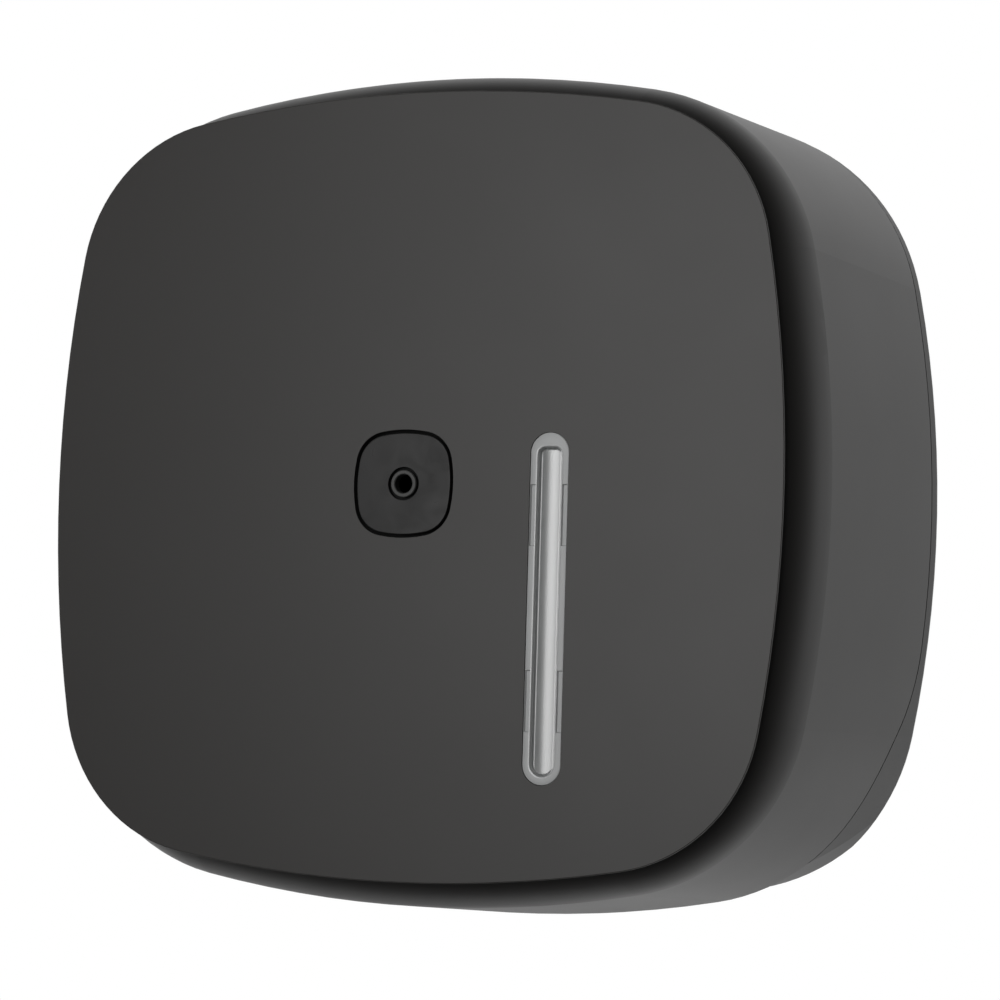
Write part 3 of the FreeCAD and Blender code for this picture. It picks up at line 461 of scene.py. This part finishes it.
def screw_mesh(head_r, length):
    """A screw along Z: its head above the origin and its shank below."""
    shape = bmesh.new()
    dome = [(FLAT_R, SCREW_HEAD_T), (DOME_ROUND_R, DOME_ROUND_Z), (DOME_R, DOME_EDGE_Z), (DOME_R, WASHER_T)]
    washer = [(WASHER_TOP * head_r, WASHER_T), (head_r, WASHER_EDGE_Z), (head_r, 0.0)]
    shank = [(SHANK_R, 0.0), (SHANK_R, -SHANK_STRAIGHT * length), (TIP_R, -length), (0.0, -length)]
    profile = dome + washer + shank
    verts = [shape.verts.new((radius, 0.0, z)) for radius, z in profile]
    edges = [shape.edges.new(pair) for pair in zip(verts, verts[1:])]
    bmesh.ops.spin(shape, geom=verts + edges, cent=(0, 0, 0), axis=(0, 0, 1), angle=2 * math.pi,
                   steps=SPIN_STEPS, use_merge=True)
    bmesh.ops.remove_doubles(shape, verts=shape.verts, dist=MERGE_GAP)
    rim = boundary(shape.edges)
    bmesh.ops.bridge_loops(shape, edges=rim + cross_recess(shape))
    bmesh.ops.recalc_face_normals(shape, faces=shape.faces)
    mesh = bpy.data.meshes.new("screw")
    shape.to_mesh(mesh)
    shape.free()
    return mesh


def make_screws(node, head_to_front):
    """Detailed screws in place of a node's plain ones. Their heads face the front or the wall."""
    boxes = solid_boxes(node)
    low, high = boxes[0]
    head_r = (high.x - low.x) / 2
    facing = -1.0 if head_to_front else 1.0
    lean = Matrix.Rotation(math.radians(-90 * facing), 4, "X")
    plain = screw_mesh(head_r, high.y - low.y - SCREW_HEAD_T)
    shape = bmesh.new()
    for k, (low, high) in enumerate(boxes):
        seat = (low.y if head_to_front else high.y) - facing * SCREW_HEAD_T
        place = Matrix.Translation(((low.x + high.x) / 2, seat, (low.z + high.z) / 2))
        count = len(shape.verts)
        shape.from_mesh(plain)
        shape.verts.ensure_lookup_table()
        turn = Matrix.Rotation(math.radians(SCREW_TURN * k), 4, "Z")
        bmesh.ops.transform(shape, matrix=place @ lean @ turn, verts=shape.verts[count:])
    bpy.data.meshes.remove(plain)
    piece = new_piece(node + "_detail", shape, ZINC_STEEL)
    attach(piece, body_of(nodes[node])[0])
    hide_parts(node)


def grow_loop(shape, edges, moved):
    """Extrude a closed loop of edges and move its new vertices. Gives the new loop."""
    made = bmesh.ops.extrude_edge_only(shape, edges=edges)["geom"]
    for vert in only_verts(made):
        vert.co = moved(vert.co)
    return boundary(made)


def wider_trough(step, depth):
    """Moves a point of the trough's outline outward by a step, to a depth below the rim."""
    def moved(point):
        above = point.z > TROUGH_CORNER_Z
        core_x = min(max(point.x, -TROUGH_CORNER_X), TROUGH_CORNER_X) if above else 0.0
        core_z = min(max(point.z, TROUGH_LOWER_Z), TROUGH_CORNER_Z)
        out = Vector((point.x - core_x, 0, point.z - core_z)).normalized() * step
        return Vector((point.x + out.x, LENS_LOW.y + depth, point.z + out.z))
    return moved


def lens_outline(radius, y):
    """Moves a point straight out to a round-ended outline with this radius."""
    def moved(point):
        core_z = min(max(point.z, LENS_LOWER_Z), LENS_UPPER_Z)
        out = Vector((point.x, 0, point.z - core_z)).normalized() * radius
        return Vector((out.x, y, core_z + out.z))
    return moved


def trough_floor(shape):
    """Crowned floor of the trough, with a round lower end and round upper corners."""
    rows = [(TROUGH_LOWER_Z - TROUGH_HALF * math.sin(turn), TROUGH_HALF * math.cos(turn))
            for turn in reversed(quarter_turn(TROUGH_END_ROWS))]
    rows += [(level, TROUGH_HALF) for level in LOWER_TABS + UPPER_TABS]
    for turn in quarter_turn(TROUGH_CORNER_ROWS):
        half = TROUGH_HALF - TROUGH_CORNER_R * (1 - math.cos(turn))
        rows.append((TROUGH_CORNER_Z + TROUGH_CORNER_R * math.sin(turn), half))
    last = len(rows) - 1
    crown_r = (TROUGH_HALF ** 2 + TROUGH_CROWN ** 2) / (2 * TROUGH_CROWN)
    crown_y = LENS_LOW.y + TROUGH_DEPTH + crown_r - TROUGH_CROWN
    grid = bmesh.ops.create_grid(shape, x_segments=TROUGH_COLUMNS, y_segments=last, size=1.0)
    for vert in grid["verts"]:
        z, half = rows[round((vert.co.y + 1) / 2 * last)]
        x = vert.co.x * half
        vert.co = (x, crown_y - math.sqrt(crown_r ** 2 - x ** 2), z)
    bmesh.ops.remove_doubles(shape, verts=shape.verts, dist=MERGE_GAP)


def trough_side(shape, edges):
    """Side of the trough: a fillet at its floor, a wall and a rounding at the rim. Gives the rim's loop."""
    turns = quarter_turn(TROUGH_ROUND_STEPS)
    section = [(TROUGH_FILLET_R * math.sin(turn), TROUGH_DEPTH - TROUGH_FILLET_R * (1 - math.cos(turn)))
               for turn in turns[1:]]
    for turn in turns:
        out = TROUGH_FILLET_R + TROUGH_ROUND_R * (1 - math.cos(turn))
        section.append((out, TROUGH_ROUND_R * (1 - math.sin(turn))))
    before = 0.0
    for out, depth in section:
        edges = grow_loop(shape, edges, wider_trough(out - before, depth))
        before = out
    return edges


def lens_body(shape, edges):
    """The lens's edge, head and narrower body behind the loop of its rim."""
    slant = LENS_EDGE * math.sqrt(0.5)
    head_y = LENS_LOW.y + LENS_HEAD_T
    steps = [(LENS_RIM_R - LENS_EDGE + slant, LENS_LOW.y + LENS_EDGE - slant),
             (LENS_RIM_R, LENS_LOW.y + LENS_EDGE), (LENS_RIM_R, head_y),
             (LENS_BODY_R, head_y), (LENS_BODY_R, LENS_HIGH.y)]
    for radius, y in steps:
        edges = grow_loop(shape, edges, lens_outline(radius, y))
    bmesh.ops.edgeloop_fill(shape, edges=edges)


def tab_pockets(shape, rim):
    """Shallow pockets in the faces of the rim that lie in front of the tabs."""
    pockets = [face for face in rim for low_z, high_z in (LOWER_TABS, UPPER_TABS)
               if low_z < face.calc_center_median().z < high_z]
    bmesh.ops.inset_individual(shape, faces=pockets, thickness=TAB_FRAME)
    for face in pockets:
        bmesh.ops.translate(shape, vec=(0, TAB_POCKET, 0), verts=face.verts)


def snap_tab(shape, side, low_z, high_z):
    """A wedge on one side of the body, with its barb towards the front."""
    root_x = LENS_BODY_R - TAB_ROOT
    front_y = LENS_HIGH.y - TAB_REAR
    corners = [(root_x, front_y), (LENS_BODY_R + TAB_BARB, front_y), (root_x, front_y + TAB_T)]
    wedge = shape.faces.new([shape.verts.new((side * x, y, low_z)) for x, y in corners])
    top = only_verts(bmesh.ops.extrude_face_region(shape, geom=[wedge], use_keep_orig=True)["geom"])
    bmesh.ops.translate(shape, vec=(0, 0, high_z - low_z), verts=top)


def make_lens():
    """Detailed lens in place of the plain one."""
    shape = bmesh.new()
    trough_floor(shape)
    edges = trough_side(shape, boundary(shape.edges))
    trough = set(shape.faces)
    edges = grow_loop(shape, edges, lens_outline(LENS_RIM_R - LENS_EDGE, LENS_LOW.y))
    rim = [edge.link_faces[0] for edge in edges]
    lens_body(shape, edges)
    tab_pockets(shape, rim)
    for low_z, high_z in (LOWER_TABS, UPPER_TABS):
        for side in (-1, 1):
            snap_tab(shape, side, low_z, high_z)
    for face in shape.faces:
        face.material_index = 1 if face in trough else 0
    bmesh.ops.translate(shape, vec=((LENS_LOW.x + LENS_HIGH.x) / 2, 0, 0), verts=shape.verts)
    piece = new_piece("window_lens_detail", shape, SATIN_WINDOW)
    piece.data.materials.append(CLEAR_WINDOW)
    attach(piece, body_of(nodes["window_lens"])[0])
    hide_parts("window_lens")


def floor_material():
    """Pale floor that fades out round the object, and is clear from below."""
    material, tree, shader = new_material("pale_floor")
    shader.inputs["Base Color"].default_value = (0.86, 0.86, 0.86, 1.0)
    shader.inputs["Roughness"].default_value = 0.9
    where = tree.nodes.new("ShaderNodeTexCoord")
    radius = tree.nodes.new("ShaderNodeVectorMath")
    radius.operation = "LENGTH"
    solid = add_node(tree, "ShaderNodeMapRange", From_Min=FLOOR_SOLID, From_Max=FLOOR_RADIUS,
                     To_Min=1.0, To_Max=0.0)
    tree.links.new(where.outputs["Object"], radius.inputs[0])
    tree.links.new(radius.outputs["Value"], solid.inputs["Value"])
    sides = tree.nodes.new("ShaderNodeNewGeometry")
    top_side = combined(tree, "SUBTRACT", 1.0, sides.outputs["Backfacing"])
    shown = combined(tree, "MULTIPLY", solid.outputs["Result"], top_side)
    tree.links.new(shown, shader.inputs["Alpha"])
    return material


def make_floor():
    """A square floor below and behind the object."""
    shape = bmesh.new()
    bmesh.ops.create_grid(shape, x_segments=1, y_segments=1, size=FLOOR_RADIUS)
    mesh = bpy.data.meshes.new("floor")
    shape.to_mesh(mesh)
    shape.free()
    floor = bpy.data.objects.new("floor", mesh)
    floor.location = FLOOR_PLACE
    floor.data.materials.append(floor_material())
    bpy.context.scene.collection.objects.link(floor)


def make_world():
    """White to the camera. As light, in reflections and through the window, white behind the object
    and a dim room in front of it."""
    world = bpy.data.worlds.new("studio")
    bpy.context.scene.world = world
    world.use_nodes = True
    tree = world.node_tree
    background = tree.nodes["Background"]
    background.inputs["Color"].default_value = (1.0, 1.0, 1.0, 1.0)
    where = tree.nodes.new("ShaderNodeTexCoord")
    parts = tree.nodes.new("ShaderNodeSeparateXYZ")
    tree.links.new(where.outputs["Generated"], parts.inputs["Vector"])
    slope = combined(tree, "MULTIPLY", parts.outputs["Z"], parts.outputs["Z"])
    lean = combined(tree, "MULTIPLY", slope, ROOM_LEAN)
    depth = add_node(tree, "ShaderNodeMapRange", From_Min=ROOM_FRONT_END, From_Max=ROOM_WHITE_START,
                     To_Min=ROOM_FRONT, To_Max=1.0)
    depth.interpolation_type = "SMOOTHSTEP"
    tree.links.new(combined(tree, "SUBTRACT", parts.outputs["Y"], lean), depth.inputs["Value"])
    height = add_node(tree, "ShaderNodeMapRange", From_Max=ROOM_HORIZON_END, To_Min=ROOM_HORIZON)
    tree.links.new(slope, height.inputs["Value"])
    white = combined(tree, "MULTIPLY", depth.outputs["Result"], height.outputs["Result"])
    path = tree.nodes.new("ShaderNodeLightPath")
    mirrored = combined(tree, "MAXIMUM", path.outputs["Is Glossy Ray"], path.outputs["Is Transmission Ray"])
    level = combined(tree, "MAXIMUM", mirrored, ROOM_LIGHT)
    room = combined(tree, "MULTIPLY", level, white)
    strength = combined(tree, "MAXIMUM", path.outputs["Is Camera Ray"], room)
    tree.links.new(strength, background.inputs["Strength"])


def make_softbox(name, place, size, power):
    """A square lamp that points at the middle of the object."""
    lamp = bpy.data.lights.new(name, "AREA")
    lamp.shape = "SQUARE"
    lamp.size = size
    lamp.energy = power
    box = bpy.data.objects.new(name, lamp)
    box.location = place
    box.rotation_mode = "QUATERNION"
    box.rotation_quaternion = (-Vector(place)).to_track_quat("-Z", "Y")
    bpy.context.scene.collection.objects.link(box)


def make_camera():
    """The camera, aimed at a point on the front panel's plane."""
    data = bpy.data.cameras.new("camera")
    data.sensor_width = CAMERA_SENSOR
    data.lens = CAMERA_LENS
    camera = bpy.data.objects.new("camera", data)
    toward = Vector((-math.sin(CAMERA_AZIMUTH) * math.cos(CAMERA_ELEVATION),
                     math.cos(CAMERA_AZIMUTH) * math.cos(CAMERA_ELEVATION),
                     -math.sin(CAMERA_ELEVATION)))
    level = Vector((math.cos(CAMERA_AZIMUTH), math.sin(CAMERA_AZIMUTH), 0.0))
    upright = level.cross(toward)
    right = level * math.cos(CAMERA_ROLL) + upright * math.sin(CAMERA_ROLL)
    up = upright * math.cos(CAMERA_ROLL) - level * math.sin(CAMERA_ROLL)
    front_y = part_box("front_panel")[0].y
    place = Vector((CAMERA_AIM_X, front_y, CAMERA_AIM_Z)) - toward * CAMERA_DISTANCE
    turn = Matrix((right, up, -toward)).transposed().to_4x4()
    camera.matrix_world = Matrix.Translation(place) @ turn
    bpy.context.scene.collection.objects.link(camera)
    bpy.context.scene.camera = camera


for node, head_to_front in (("panel_screws", False), ("funnel_screws", False), ("cradle_screws", True),
                            ("keeper_screws", True)):
    make_screws(node, head_to_front)
make_lens()
make_floor()
make_world()
make_softbox("key_softbox", KEY_PLACE, KEY_SIZE, KEY_POWER)
make_softbox("side_softbox", SIDE_PLACE, SIDE_SIZE, SIDE_POWER)
make_softbox("left_softbox", LEFT_PLACE, LEFT_SIZE, LEFT_POWER)
make_softbox("low_softbox", LOW_PLACE, LOW_SIZE, LOW_POWER)
make_camera()
bpy.context.scene.view_settings.view_transform = "Standard"
